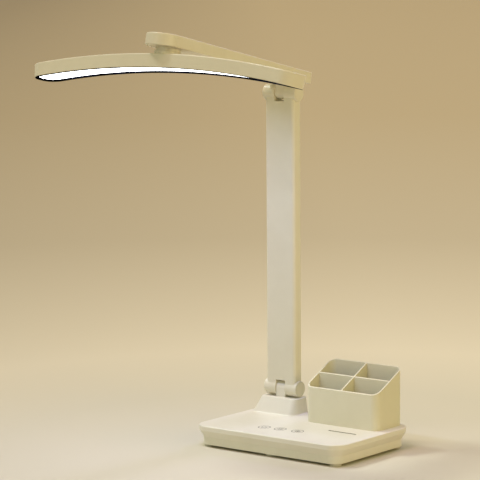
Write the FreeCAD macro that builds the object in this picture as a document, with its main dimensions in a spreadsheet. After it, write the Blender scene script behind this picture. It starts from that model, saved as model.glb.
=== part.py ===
import FreeCAD, Part
import Sketcher
import math
import os

# Folding desk lamp: a weighted base with a pen holder, a flat stem and an arm on friction hinges, and a
# long arched light bar that swivels under the end of the arm.
# Millimetres, +Z up, +X to the right and +Y to the back. The origin is on the table, under the middle of
# the base.

SIZES = {
    # base housing
    "base_width": 181.0,
    "base_depth": 126.0,
    "base_height": 22.0,
    "base_corner": 17.0,
    "base_band": 5.0,
    "flare_height": 7.0,
    "flare_inset": 4.4,
    "base_wall": 2.2,
    "base_edge_round": 1.2,
    "foot_height": 2.5,
    "foot_radius": 6.0,
    "plate_thickness": 2.2,
    "cover_gap": 0.3,
    "boss_radius": 3.6,
    "boss_inset": 7.5,
    "pedestal_screw_gap": 5.5,
    "foot_inset": 0.2,
    "groove_length": 33.4,
    "groove_width": 2.4,
    "groove_depth": 1.0,
    "groove_side_inset": 36.5,
    "groove_holder_gap": 21.7,
    # pieces inside the base
    "ballast_side_gap": 23.4,
    "ballast_front_gap": 0.4,
    "ballast_board_gap": 5.4,
    "ballast_thickness": 5.0,
    "ballast_corner": 5.0,
    "battery_width": 60.0,
    "battery_depth": 42.0,
    "battery_thickness": 7.0,
    "battery_corner": 3.0,
    "battery_x": 20.0,
    "battery_rear_gap": 7.0,
    "board_thickness": 1.2,
    "board_corner": 1.5,
    "control_board_width": 56.0,
    "control_board_depth": 22.0,
    "control_board_gap": 3.5,
    "control_board_rear_gap": 1.0,
    "standoff_height": 0.5,
    "standoff_radius": 2.0,
    "standoff_inset": 4.0,
    "touch_board_width": 66.0,
    "touch_board_depth": 22.0,
    "touch_x": -3.9,
    "touch_front_inset": 33.5,
    "socket_width": 8.9,
    "socket_thickness": 3.2,
    "socket_depth": 7.3,
    "socket_gap": 0.2,
    "socket_corner": 1.4,
    "socket_shell": 0.4,
    "socket_inset": 0.4,
    "socket_tongue_width": 6.6,
    "socket_tongue_thickness": 0.7,
    # pedestal on the base cover
    "pedestal_foot_width": 56.0,
    "pedestal_foot_depth": 32.0,
    "pedestal_foot_shift_x": -2.2,
    "pedestal_foot_shift_y": -3.8,
    "pedestal_foot_corner": 10.0,
    "pedestal_top_width": 44.5,
    "pedestal_top_depth": 21.5,
    "pedestal_top_corner": 5.0,
    "pedestal_height": 16.0,
    "pedestal_wall": 2.4,
    "pedestal_foot_round": 2.5,
    "pedestal_top_round": 1.0,
    # hinges
    "hinge_side_inset": 34.1,
    "hinge_rear_inset": 18.0,
    "hinge_clearance_below": 0.9,
    "hinge_spacing": 302.4,
    "knuckle_radius": 8.1,
    "knuckle_span": 40.8,
    "knuckle_round": 0.5,
    "lug_width": 11.3,
    "lug_radius": 6.5,
    "lug_side_gap": 0.3,
    "lug_slot_reach": 8.3,
    "shaft_radius": 3.0,
    "running_gap": 0.05,
    "press_gap": 0.02,
    "shaft_head_radius": 5.0,
    "shaft_head_length": 2.6,
    "nut_height": 2.2,
    "shaft_recess_gap": 0.5,
    "cap_radius": 7.0,
    "cap_thickness": 1.3,
    "cap_proud": 0.2,
    "cap_gap": 0.1,
    "washer_radius": 5.2,
    "washer_thickness": 0.9,
    # stem
    "stem_width": 36.5,
    "stem_thickness": 13.4,
    "stem_corner": 3.5,
    "stem_wall": 2.0,
    "stem_end_block": 14.0,
    "stem_part_line": 3.5,
    "stem_part_gap": 0.1,
    "stem_post_inset": 12.0,
    "stem_screw_length": 6.0,
    "stem_post_radius": 3.2,
    "stiffener_width": 24.0,
    "stiffener_thickness": 1.2,
    "stiffener_hole_gap": 0.4,
    "stiffener_end_gap": 1.0,
    # arm
    "arm_lean_angle": 12.4,
    "arm_width": 35.0,
    "arm_thickness": 11.6,
    "arm_underside": 13.1,
    "arm_nose_reach": 25.5,
    "arm_rear": 24.5,
    "arm_rear_corner": 5.0,
    "arm_wall": 2.0,
    "arm_edge_round": 1.4,
    "arm_solid_front": 12.0,
    "arm_post_radius": 3.4,
    "arm_post_inset": 45.0,
    "arm_post_step": 50.0,
    "arm_screw_length": 5.0,
    "arm_under_round": 0.6,
    "arm_cover_thickness": 2.0,
    "arm_cover_gap": 0.15,
    "arm_inner_corner": 2.0,
    # swivel
    "swivel_reach": 187.0,
    "swivel_gap": 7.5,
    "swivel_split_gap": 0.3,
    "arm_collar_radius": 12.4,
    "arm_collar_height": 3.6,
    "head_collar_radius": 13.2,
    "swivel_bolt_radius": 4.0,
    "swivel_bolt_bore": 2.4,
    "swivel_flange_radius": 7.5,
    "swivel_flange_height": 1.6,
    "swivel_washer_height": 0.8,
    "swivel_nut_height": 2.6,
    "swivel_nut_radius": 6.5,
    "swivel_bolt_end": 6.0,
    "collar_foot_round": 1.2,
    "nut_seat_drop": 0.4,
    # head
    "head_length": 322.0,
    "head_width": 35.0,
    "head_thickness": 13.2,
    "head_arch_radius": 946.0,
    "head_crown_offset": 11.0,
    "head_corner": 14.0,
    "head_wall": 2.0,
    "head_edge_round": 1.2,
    "head_under_round": 0.5,
    "head_inner_corner": 12.0,
    "bezel_height": 5.2,
    "bezel_wall": 1.5,
    "bezel_gap": 0.1,
    "bezel_recess": 0.3,
    "diffuser_recess": 2.6,
    "diffuser_thickness": 1.6,
    "led_board_thickness": 1.0,
    "led_length": 3.5,
    "led_width": 2.8,
    "led_height": 0.7,
    "led_spacing": 12.0,
    "led_board_inset": 4.0,
    "led_board_gap": 0.4,
    # pen holder
    "holder_width": 88.0,
    "holder_depth": 46.0,
    "holder_corner": 8.0,
    "holder_front_height": 35.8,
    "holder_back_height": 58.4,
    "holder_wall": 1.4,
    "holder_floor": 1.6,
    "holder_divider": 1.3,
    "holder_side_gap": 10.3,
    "holder_rear_gap": 1.8,
    "peg_radius": 2.4,
    "peg_height": 1.1,
    "peg_gap": 0.3,
    "peg_spacing": 56.0,
    # screws
    "screw_radius": 1.4,
    "screw_length": 9.0,
    "screw_head_radius": 2.6,
    "screw_head_height": 1.3,
    "screw_hole_gap": 0.2,
    "screw_bite_gap": 0.05,
}

# How near two places are, in millimetres, when they count as the same.
CLOSE = 0.01

document = FreeCAD.newDocument("DeskLamp")
sheet = document.addObject("Spreadsheet::Sheet", "Sizes")


class Size:
    """A number that carries the formula which ties it to the sheet."""

    def __init__(self, value, formula):
        self.value = value
        self.formula = formula

    def __add__(self, other):
        return Size(self.value + number(other), f"({self.formula} + {text(other)})")

    def __radd__(self, other):
        return Size(number(other) + self.value, f"({text(other)} + {self.formula})")

    def __sub__(self, other):
        return Size(self.value - number(other), f"({self.formula} - {text(other)})")

    def __rsub__(self, other):
        return Size(number(other) - self.value, f"({text(other)} - {self.formula})")

    def __mul__(self, other):
        return Size(self.value * number(other), f"({self.formula} * {text(other)})")

    def __rmul__(self, other):
        return Size(number(other) * self.value, f"({text(other)} * {self.formula})")

    def __truediv__(self, other):
        return Size(self.value / number(other), f"({self.formula} / {text(other)})")

    def __neg__(self):
        return Size(-self.value, f"(0 - {self.formula})")


def number(amount):
    return amount.value if isinstance(amount, Size) else float(amount)


def text(amount):
    return amount.formula if isinstance(amount, Size) else repr(amount)


def whole(amount):
    """The whole number next below a size."""
    return Size(math.floor(amount.value), f"floor({amount.formula})")


class Sizes:
    """Every driving size, by name, once it is in the sheet."""


size = Sizes()
for row, (name, value) in enumerate(SIZES.items(), start=1):
    sheet.set(f"A{row}", name)
    sheet.set(f"B{row}", str(value))
    sheet.setAlias(f"B{row}", name)
    setattr(size, name, Size(value, f"Sizes.{name}"))
document.recompute()


# ---------------------------------------------------------------- sketches and features

def bind(target, path, amount):
    """Tie one property of an object to the formula of a size."""
    target.setExpression(path, text(amount))


def make_body(label, place=None):
    body = document.addObject("PartDesign::Body", label)
    body.Label = label
    if place:
        body.setExpression("Placement", place)
    return body


def make_sketch(body, role, offset=0, x=0, y=0):
    """A sketch on one of the body's own planes, moved along its normal by offset and within it by x, y."""
    sketch = body.newObject("Sketcher::SketchObject", "Sketch")
    plane = next(feature for feature in body.Origin.OriginFeatures if feature.Role == role)
    sketch.AttachmentSupport = [(plane, "")]
    sketch.MapMode = "FlatFace"
    bind(sketch, "AttachmentOffset.Base.x", x)
    bind(sketch, "AttachmentOffset.Base.y", y)
    bind(sketch, "AttachmentOffset.Base.z", offset)
    return sketch


def level(body, height=0):
    """A sketch seen from above, at a height."""
    return make_sketch(body, "XY_Plane", height)


def side_on(body, across=0):
    """A sketch seen along X, with Y and Z as its axes, at a place across the body."""
    return make_sketch(body, "YZ_Plane", across)


def front_on(body, back=0):
    """A sketch seen along Y, with X and Z as its axes, at a distance to the back."""
    return make_sketch(body, "XZ_Plane", -back)


def constrain(sketch, kind, *items):
    """Add a constraint whose last item is a size, tied to its formula."""
    amount = items[-1]
    index = sketch.addConstraint(Sketcher.Constraint(kind, *items[:-1], number(amount)))
    bind(sketch, f"Constraints[{index}]", amount)


def pin(sketch, geometry, vertex, x, y):
    """Hold a point of the geometry at x, y from the sketch's origin."""
    constrain(sketch, "DistanceX", -1, 1, geometry, vertex, x)
    constrain(sketch, "DistanceY", -1, 1, geometry, vertex, y)


def add_line(sketch, start, end):
    points = [FreeCAD.Vector(number(x), number(y), 0) for x, y in (start, end)]
    return sketch.addGeometry(Part.LineSegment(*points), False)


def add_arc(sketch, x, y, radius, start, end):
    circle = Part.Circle(FreeCAD.Vector(number(x), number(y), 0), FreeCAD.Vector(0, 0, 1), number(radius))
    return sketch.addGeometry(Part.ArcOfCircle(circle, math.radians(start), math.radians(end)), False)


def join(sketch, kind, first, second):
    """Join the end of one curve to the start of the next."""
    sketch.addConstraint(Sketcher.Constraint(kind, first, 2, second, 1))


def add_circle(sketch, x, y, radius):
    centre = FreeCAD.Vector(number(x), number(y), 0)
    circle = sketch.addGeometry(Part.Circle(centre, FreeCAD.Vector(0, 0, 1), number(radius)), False)
    pin(sketch, circle, 3, x, y)
    constrain(sketch, "Radius", circle, radius)


def add_polygon(sketch, points):
    lines = [add_line(sketch, start, end) for start, end in zip(points, points[1:] + points[:1])]
    for line, following, point in zip(lines, lines[1:] + lines[:1], points):
        join(sketch, "Coincident", line, following)
        pin(sketch, line, 1, *point)


def add_rectangle(sketch, left, bottom, right, top):
    add_polygon(sketch, [(left, bottom), (right, bottom), (right, top), (left, top)])


def add_hexagon(sketch, radius):
    """A hexagon about the sketch's origin, with its corners at the radius."""
    sides = 6
    turns = [2 * math.pi * corner / sides for corner in range(sides)]
    add_polygon(sketch, [(radius * round(math.cos(turn), 6), radius * round(math.sin(turn), 6))
                         for turn in turns])


def add_rounded_rectangle(sketch, width, depth, corner, x=0, y=0):
    left, right = x - width / 2, x + width / 2
    bottom, top = y - depth / 2, y + depth / 2
    south = add_line(sketch, (left + corner, bottom), (right - corner, bottom))
    south_east = add_arc(sketch, right - corner, bottom + corner, corner, -90, 0)
    east = add_line(sketch, (right, bottom + corner), (right, top - corner))
    north_east = add_arc(sketch, right - corner, top - corner, corner, 0, 90)
    north = add_line(sketch, (right - corner, top), (left + corner, top))
    north_west = add_arc(sketch, left + corner, top - corner, corner, 90, 180)
    west = add_line(sketch, (left, top - corner), (left, bottom + corner))
    south_west = add_arc(sketch, left + corner, bottom + corner, corner, 180, 270)
    loop = [south, south_east, east, north_east, north, north_west, west, south_west]
    for first, second in zip(loop, loop[1:] + loop[:1]):
        join(sketch, "Tangent", first, second)
    for line in (south, north):
        sketch.addConstraint(Sketcher.Constraint("Horizontal", line))
    for line in (east, west):
        sketch.addConstraint(Sketcher.Constraint("Vertical", line))
    for arc in (north_east, north_west, south_west):
        sketch.addConstraint(Sketcher.Constraint("Equal", south_east, arc))
    constrain(sketch, "Radius", south_east, corner)
    constrain(sketch, "DistanceX", -1, 1, west, 1, left)
    constrain(sketch, "DistanceX", -1, 1, east, 1, right)
    constrain(sketch, "DistanceY", -1, 1, south, 1, bottom)
    constrain(sketch, "DistanceY", -1, 1, north, 1, top)


def add_bullet(sketch, width, front, rear, corner):
    """A bar seen from above: a half circle at the front, two rounded corners at the rear."""
    radius = width / 2
    nose = add_arc(sketch, 0, front + radius, radius, 180, 360)
    east = add_line(sketch, (radius, front + radius), (radius, rear - corner))
    north_east = add_arc(sketch, radius - corner, rear - corner, corner, 0, 90)
    north = add_line(sketch, (radius - corner, rear), (corner - radius, rear))
    north_west = add_arc(sketch, corner - radius, rear - corner, corner, 90, 180)
    west = add_line(sketch, (-radius, rear - corner), (-radius, front + radius))
    loop = [nose, east, north_east, north, north_west, west]
    for first, second in zip(loop, loop[1:] + loop[:1]):
        join(sketch, "Tangent", first, second)
    sketch.addConstraint(Sketcher.Constraint("Vertical", east))
    sketch.addConstraint(Sketcher.Constraint("Vertical", west))
    sketch.addConstraint(Sketcher.Constraint("Horizontal", north))
    sketch.addConstraint(Sketcher.Constraint("Equal", north_east, north_west))
    constrain(sketch, "Radius", north_east, corner)
    constrain(sketch, "Radius", nose, radius)
    pin(sketch, nose, 3, 0, front + radius)
    constrain(sketch, "DistanceY", -1, 1, north, 1, rear)


def add_tongue(sketch, x, y, radius, foot):
    """A hinge lug from the side: round about its axis at x, y, with straight flanks down or up to foot."""
    upside_down = number(foot) > number(y)
    first, last = (180, 360) if upside_down else (0, 180)
    start, end = (x - radius, x + radius) if upside_down else (x + radius, x - radius)
    crown = add_arc(sketch, x, y, radius, first, last)
    flank = add_line(sketch, (end, y), (end, foot))
    sole = add_line(sketch, (end, foot), (start, foot))
    other_flank = add_line(sketch, (start, foot), (start, y))
    join(sketch, "Tangent", crown, flank)
    join(sketch, "Coincident", flank, sole)
    join(sketch, "Coincident", sole, other_flank)
    join(sketch, "Tangent", other_flank, crown)
    sketch.addConstraint(Sketcher.Constraint("Vertical", flank))
    sketch.addConstraint(Sketcher.Constraint("Vertical", other_flank))
    sketch.addConstraint(Sketcher.Constraint("Horizontal", sole))
    pin(sketch, crown, 3, x, y)
    constrain(sketch, "Radius", crown, radius)
    constrain(sketch, "DistanceY", -1, 1, sole, 1, foot)


def add_feature(body, kind, sketch, length, both_ways=False, reverse=False):
    """A pad or a pocket of the sketch, tied to its length."""
    before = body.Shape.Volume if body.Tip else 0.0
    feature = body.newObject(f"PartDesign::{kind}", kind)
    feature.Profile = sketch
    feature.SideType = "Symmetric" if both_ways else "One side"
    feature.Reversed = reverse
    bind(feature, "Length", length)
    document.recompute()
    change = body.Shape.Volume - before
    if (change > 0) != (kind == "Pad"):
        raise RuntimeError(f"{body.Label}: {feature.Name} changes the volume by {change:.3f}")
    return feature


def pad(body, sketch, length, both_ways=False, reverse=False):
    return add_feature(body, "Pad", sketch, length, both_ways, reverse)


def cut(body, sketch, length, both_ways=False, reverse=False):
    return add_feature(body, "Pocket", sketch, length, both_ways, reverse)


def loft(body, kind, first, last):
    feature = body.newObject(f"PartDesign::{kind}Loft", f"{kind}Loft")
    feature.Profile = first
    feature.Sections = [last]
    feature.Ruled = True
    document.recompute()
    return feature


def points_of(edge):
    """The ends, quarter points and middle of an edge."""
    steps = 4
    span = edge.LastParameter - edge.FirstParameter
    return [edge.valueAt(edge.FirstParameter + span * step / steps) for step in range(steps + 1)]


def round_edges(body, radius, wanted):
    """Fillet the edges of the body so far whose points all pass the test."""
    base = body.Tip
    names = []
    for index, edge in enumerate(base.Shape.Edges, start=1):
        if all(wanted(point) for point in points_of(edge)):
            names.append(f"Edge{index}")
    feature = body.newObject("PartDesign::Fillet", "Fillet")
    feature.Base = (base, names)
    bind(feature, "Radius", radius)
    document.recompute()


def near(first, second):
    """Whether two lengths are the same, as far as modelling goes."""
    return abs(number(first) - number(second)) < CLOSE


def place_at(x, y, z, lean=0):
    """The formula of a placement at x, y, z, leant back about X by an angle in degrees."""
    turn = f"rotation(vector(1; 0; 0); {text(-lean)})" if lean else "rotation(vector(1; 0; 0); 0)"
    return f"placement(vector({text(x)}; {text(y)}; {text(z)}); {turn})"


# ---------------------------------------------------------------- shared places

half_width = size.base_width / 2
half_depth = size.base_depth / 2
flare_top = size.base_height - size.base_band
flare_bottom = flare_top - size.flare_height
skirt_width = size.base_width - 2 * size.flare_inset
skirt_depth = size.base_depth - 2 * size.flare_inset
skirt_corner = size.base_corner - size.flare_inset
ceiling = size.base_height - size.base_wall
plate_top = size.foot_height + size.plate_thickness
inside_width = skirt_width - 2 * size.base_wall
inside_depth = skirt_depth - 2 * size.base_wall
plate_width = inside_width - 2 * size.cover_gap
plate_depth = inside_depth - 2 * size.cover_gap
hinge_x = size.hinge_side_inset - half_width
hinge_y = half_depth - size.hinge_rear_inset
pedestal_foot_x = hinge_x + size.pedestal_foot_shift_x
pedestal_foot_y = hinge_y + size.pedestal_foot_shift_y
screw_x = inside_width / 2 - size.boss_inset
screw_y = inside_depth / 2 - size.boss_inset
pedestal_screw_x = pedestal_foot_x + size.pedestal_foot_width / 2 + size.pedestal_screw_gap
screw_places = [
    (-screw_x, -screw_y),
    (screw_x, -screw_y),
    (screw_x, screw_y),
    (pedestal_screw_x, screw_y),
]
pedestal_top = size.base_height + size.pedestal_height
lower_axis = pedestal_top + size.hinge_clearance_below + size.knuckle_radius
upper_axis = lower_axis + size.hinge_spacing
board_top = plate_top + size.standoff_height + size.board_thickness
socket_height = board_top + size.socket_thickness / 2
control_board_left = pedestal_screw_x + size.boss_radius + size.control_board_gap
control_board_x = control_board_left + size.control_board_width / 2
board_rear = inside_depth / 2 - size.control_board_rear_gap
board_front = board_rear - size.control_board_depth
ballast_front = size.ballast_front_gap - inside_depth / 2
ballast_rear = board_front - size.ballast_board_gap
socket_rear = skirt_depth / 2 - size.socket_inset
holder_x = half_width - size.holder_side_gap - size.holder_width / 2
holder_y = half_depth - size.holder_rear_gap - size.holder_depth / 2
holder_front = holder_y - size.holder_depth / 2
peg_places = [(holder_x + side * size.peg_spacing / 2, holder_y) for side in (-1, 1)]
groove_x = half_width - size.groove_side_inset
groove_y = holder_front - size.groove_holder_gap

lower_hinge = place_at(hinge_x, hinge_y, lower_axis)
upper_hinge = place_at(hinge_x, hinge_y, upper_axis)
arm_place = place_at(hinge_x, hinge_y, upper_axis, size.arm_lean_angle)
swivel_height = size.arm_underside - size.swivel_gap
head_place = f"{arm_place} * {place_at(0, -size.swivel_reach, swivel_height)}"


# ---------------------------------------------------------------- base

def base_section(body, height, inset, wall=0):
    """The outline of the base at a height, drawn in from the full size by inset and by the wall."""
    sketch = level(body, height)
    drawn_in = inset + wall
    add_rounded_rectangle(sketch, size.base_width - 2 * drawn_in, size.base_depth - 2 * drawn_in,
                          size.base_corner - drawn_in)
    return sketch


def pedestal_section(body, height, width, depth, corner, x, y, wall=0):
    sketch = level(body, height)
    add_rounded_rectangle(sketch, width - 2 * wall, depth - 2 * wall, corner, x, y)
    return sketch


def make_base_cover():
    """Flared box, open below, with the pedestal and the lug of the lower hinge moulded on."""
    body = make_body("base_cover")
    wall = size.base_wall
    inset = size.flare_inset
    pad(body, base_section(body, size.foot_height, inset), flare_bottom - size.foot_height)
    loft(body, "Additive", base_section(body, flare_bottom, inset), base_section(body, flare_top, 0))
    pad(body, base_section(body, flare_top, 0), size.base_band)
    round_edges(body, size.base_edge_round, lambda point: near(point.z, size.base_height))

    foot_sizes = (size.pedestal_foot_width, size.pedestal_foot_depth, size.pedestal_foot_corner,
                  pedestal_foot_x, pedestal_foot_y)
    top_sizes = (size.pedestal_top_width, size.pedestal_top_depth, size.pedestal_top_corner,
                 hinge_x, hinge_y)
    loft(body, "Additive", pedestal_section(body, size.base_height, *foot_sizes),
         pedestal_section(body, pedestal_top, *top_sizes))
    foot_reach = (size.pedestal_foot_width / 2, size.pedestal_foot_depth / 2)

    def on_pedestal_foot(point):
        across = abs(point.x - number(pedestal_foot_x)) - number(foot_reach[0])
        along = abs(point.y - number(pedestal_foot_y)) - number(foot_reach[1])
        return near(point.z, size.base_height) and across < CLOSE and along < CLOSE

    round_edges(body, size.pedestal_foot_round, on_pedestal_foot)
    round_edges(body, size.pedestal_top_round, lambda point: near(point.z, pedestal_top))

    cut(body, base_section(body, size.foot_height, inset, wall), ceiling - size.foot_height, reverse=True)
    loft(body, "Subtractive", base_section(body, flare_bottom, inset, wall),
         base_section(body, flare_top, 0, wall))
    cut(body, base_section(body, flare_top, 0, wall), ceiling - flare_top, reverse=True)
    loft(body, "Subtractive", pedestal_section(body, ceiling, *foot_sizes, size.pedestal_wall),
         pedestal_section(body, pedestal_top - size.pedestal_wall, *top_sizes, size.pedestal_wall))

    lug = side_on(body, hinge_x)
    add_tongue(lug, hinge_y, lower_axis, size.lug_radius, size.base_height)
    pad(body, lug, size.lug_width, both_ways=True)
    bore = side_on(body, hinge_x)
    add_circle(bore, hinge_y, lower_axis, size.shaft_radius + size.press_gap)
    cut(body, bore, 2 * size.lug_width, both_ways=True)

    bosses = level(body, plate_top)
    for x, y in screw_places:
        add_circle(bosses, x, y, size.boss_radius)
    pad(body, bosses, ceiling - plate_top)
    pilots = level(body, plate_top)
    for x, y in screw_places:
        add_circle(pilots, x, y, size.screw_radius + size.screw_bite_gap)
    cut(body, pilots, size.screw_length, reverse=True)

    groove = level(body, size.base_height)
    add_rectangle(groove, groove_x - size.groove_length / 2, groove_y - size.groove_width / 2,
                  groove_x + size.groove_length / 2, groove_y + size.groove_width / 2)
    cut(body, groove, size.groove_depth)

    sockets = level(body, size.base_height)
    for x, y in peg_places:
        add_circle(sockets, x, y, size.peg_radius + size.peg_gap)
    cut(body, sockets, size.peg_height + size.peg_gap)

    inlet = front_on(body, skirt_depth / 2 - wall / 2)
    add_rounded_rectangle(inlet, size.socket_width + 2 * size.socket_gap,
                          size.socket_thickness + 2 * size.socket_gap,
                          size.socket_thickness / 2, control_board_x, socket_height)
    cut(body, inlet, 2 * wall, both_ways=True)


def make_base_plate():
    """Bottom plate with sunk screw holes and low standoffs for the control board."""
    body = make_body("base_plate")
    plate = level(body, size.foot_height)
    add_rounded_rectangle(plate, plate_width, plate_depth, skirt_corner - size.base_wall - size.cover_gap)
    pad(body, plate, size.plate_thickness)
    standoffs = level(body, plate_top)
    for x in (-1, 1):
        for y in (size.standoff_inset, size.control_board_depth - size.standoff_inset):
            reach = size.control_board_width / 2 - size.standoff_inset
            add_circle(standoffs, control_board_x + x * reach, board_rear - y, size.standoff_radius)
    pad(body, standoffs, size.standoff_height)
    heads = level(body, size.foot_height)
    shanks = level(body, size.foot_height)
    for x, y in screw_places:
        add_circle(heads, x, y, size.screw_head_radius + size.screw_hole_gap)
        add_circle(shanks, x, y, size.screw_radius + size.screw_hole_gap)
    cut(body, heads, size.screw_head_height, reverse=True)
    cut(body, shanks, size.plate_thickness, reverse=True)


def make_screws(label, sketch_on, places, head_face, length, place=None, inward=1):
    """A set of equal screws: low round heads with their shanks behind them."""
    body = make_body(label, place)
    heads = sketch_on(body, head_face)
    shanks = sketch_on(body, head_face + inward * size.screw_head_height)
    for x, y in places:
        add_circle(heads, x, y, size.screw_head_radius)
        add_circle(shanks, x, y, size.screw_radius)
    along_normal = (inward > 0) == (sketch_on is level)
    pad(body, heads, size.screw_head_height, reverse=not along_normal)
    pad(body, shanks, length, reverse=not along_normal)


def make_block(label, width, depth, corner, thickness, x, y, bottom):
    """A flat piece with rounded corners that lies level."""
    body = make_body(label)
    sketch = level(body, bottom)
    add_rounded_rectangle(sketch, width, depth, corner, x, y)
    pad(body, sketch, thickness)


def make_base_insides():
    """The pieces shut inside the base, each on what carries it."""
    make_block("ballast_plate", inside_width - 2 * size.ballast_side_gap, ballast_rear - ballast_front,
               size.ballast_corner, size.ballast_thickness, 0, (ballast_front + ballast_rear) / 2, plate_top)
    make_block("battery_pack", size.battery_width, size.battery_depth, size.battery_corner,
               size.battery_thickness, size.battery_x,
               ballast_rear - size.battery_rear_gap - size.battery_depth / 2,
               plate_top + size.ballast_thickness)
    make_block("control_board", size.control_board_width, size.control_board_depth, size.board_corner,
               size.board_thickness, control_board_x, (board_front + board_rear) / 2,
               plate_top + size.standoff_height)
    make_block("touch_board", size.touch_board_width, size.touch_board_depth, size.board_corner,
               size.board_thickness, size.touch_x, size.touch_front_inset - half_depth,
               ceiling - size.board_thickness)


def make_charging_socket():
    """Flat oval metal shell with the contact tongue inside, on the rear edge of the control board."""
    body = make_body("charging_socket")
    shell = front_on(body, socket_rear - size.socket_depth / 2)
    add_rounded_rectangle(shell, size.socket_width, size.socket_thickness, size.socket_corner,
                          control_board_x, socket_height)
    pad(body, shell, size.socket_depth, both_ways=True)
    mouth = front_on(body, socket_rear - size.socket_depth / 2 + size.socket_shell)
    add_rounded_rectangle(mouth, size.socket_width - 2 * size.socket_shell,
                          size.socket_thickness - 2 * size.socket_shell,
                          size.socket_corner - size.socket_shell, control_board_x, socket_height)
    cut(body, mouth, size.socket_depth, both_ways=True)
    tongue = front_on(body, socket_rear - size.socket_depth / 2)
    add_rectangle(tongue, control_board_x - size.socket_tongue_width / 2,
                  socket_height - size.socket_tongue_thickness / 2,
                  control_board_x + size.socket_tongue_width / 2,
                  socket_height + size.socket_tongue_thickness / 2)
    pad(body, tongue, size.socket_depth - 2 * size.socket_shell, both_ways=True)


def make_feet():
    """Round pads under the corners, as near to the edge as the plate allows, and two between them."""
    body = make_body("foot_pads")
    x = plate_width / 2 - size.foot_radius - size.foot_inset
    y = plate_depth / 2 - size.foot_radius - size.foot_inset
    sketch = level(body)
    for across in (-1, 0, 1):
        for along in (-1, 1):
            add_circle(sketch, across * x, along * y, size.foot_radius)
    pad(body, sketch, size.foot_height)


# ---------------------------------------------------------------- friction hinges

cap_seat = size.knuckle_span / 2 + size.cap_proud - size.cap_thickness
shaft_end = cap_seat - size.shaft_recess_gap
head_face = shaft_end - size.shaft_head_length
head_recess = head_face - size.lug_side_gap
slot_side = size.lug_width / 2 + size.lug_side_gap


def drill(body, radius, inner, outer, height):
    """Bore both knuckles of a hinge about its axis, from inner to outer on each side of the middle."""
    for side in (-1, 1):
        sketch = side_on(body, side * (inner + outer) / 2)
        add_circle(sketch, 0, height, radius)
        cut(body, sketch, outer - inner, both_ways=True)


def make_hinge_parts(prefix, place):
    """Shaft with its head, hexagon nut, two spring washers and two end caps, about the hinge axis."""
    shaft = make_body(f"{prefix}_hinge_shaft", place)
    shank = side_on(shaft)
    add_circle(shank, 0, 0, size.shaft_radius)
    pad(shaft, shank, 2 * shaft_end, both_ways=True)
    head = side_on(shaft, head_face)
    add_circle(head, 0, 0, size.shaft_head_radius)
    pad(shaft, head, size.shaft_head_length)

    nut = make_body(f"{prefix}_hinge_nut", place)
    hexagon = side_on(nut, -head_face)
    add_hexagon(hexagon, size.shaft_head_radius)
    add_circle(hexagon, 0, 0, size.shaft_radius + size.press_gap)
    pad(nut, hexagon, size.nut_height, reverse=True)

    washers = make_body(f"{prefix}_hinge_washers", place)
    caps = make_body(f"{prefix}_hinge_caps", place)
    for side in (-1, 1):
        ring = side_on(washers, side * (slot_side + size.washer_thickness / 2))
        add_circle(ring, 0, 0, size.washer_radius)
        add_circle(ring, 0, 0, size.shaft_radius + size.lug_side_gap)
        pad(washers, ring, size.washer_thickness, both_ways=True)
        disc = side_on(caps, side * (cap_seat + size.cap_thickness / 2))
        add_circle(disc, 0, 0, size.cap_radius)
        pad(caps, disc, size.cap_thickness, both_ways=True)


# ---------------------------------------------------------------- stem

STEM_POSTS = 4
stem_half = size.stem_thickness / 2
first_stem_post = size.stem_end_block + size.stem_post_inset
stem_post_step = (size.hinge_spacing - 2 * first_stem_post) / (STEM_POSTS - 1)
stem_posts = [(0, first_stem_post + index * stem_post_step) for index in range(STEM_POSTS)]
stem_inner_front = size.stem_wall - stem_half
stem_middle = size.hinge_spacing / 2
channel_length = size.hinge_spacing - 2 * size.stem_end_block


def stem_section(body, height):
    sketch = level(body, height)
    add_rounded_rectangle(sketch, size.stem_width, size.stem_thickness, size.stem_corner)
    return sketch


def make_stem_front_shell():
    """Front shell of the stem: a channel open to the back, solid at both ends, with the four knuckles."""
    body = make_body("stem_front_shell", lower_hinge)
    ends = (0, size.hinge_spacing)
    pad(body, stem_section(body, 0), size.hinge_spacing)
    for height in ends:
        barrel = side_on(body)
        add_circle(barrel, 0, height, size.knuckle_radius)
        pad(body, barrel, size.knuckle_span, both_ways=True)
    half_span = size.knuckle_span / 2
    round_edges(body, size.knuckle_round, lambda point: near(abs(point.x), half_span))

    seam = level(body, stem_middle)
    add_rectangle(seam, -size.stem_width, size.stem_part_line, size.stem_width, size.stem_thickness)
    cut(body, seam, channel_length, both_ways=True)
    channel = level(body, stem_middle)
    inner_half = size.stem_width / 2 - size.stem_wall
    add_rectangle(channel, -inner_half, stem_inner_front, inner_half, size.stem_thickness)
    cut(body, channel, channel_length, both_ways=True)

    post_length = size.stem_part_line - stem_inner_front
    post_middle = (size.stem_part_line + stem_inner_front) / 2
    posts = front_on(body, post_middle)
    pilots = front_on(body, post_middle)
    for x, z in stem_posts:
        add_circle(posts, x, z, size.stem_post_radius)
        add_circle(pilots, x, z, size.screw_radius + size.screw_bite_gap)
    pad(body, posts, post_length, both_ways=True)
    cut(body, pilots, post_length, both_ways=True)

    for height, direction in zip(ends, (1, -1)):
        slot = front_on(body)
        outside = height - direction * 2 * size.knuckle_radius
        add_rectangle(slot, -slot_side, outside, slot_side, height + direction * size.lug_slot_reach)
        cut(body, slot, 2 * size.stem_thickness, both_ways=True)
        drill(body, size.shaft_radius + size.running_gap, slot_side - size.washer_thickness, half_span,
              height)
        drill(body, size.shaft_head_radius + size.shaft_recess_gap, head_recess, half_span, height)
        drill(body, size.cap_radius + size.cap_gap, cap_seat, half_span, height)
        drill(body, size.washer_radius + size.cap_gap, slot_side - size.washer_thickness,
              slot_side + size.washer_thickness, height)


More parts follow.
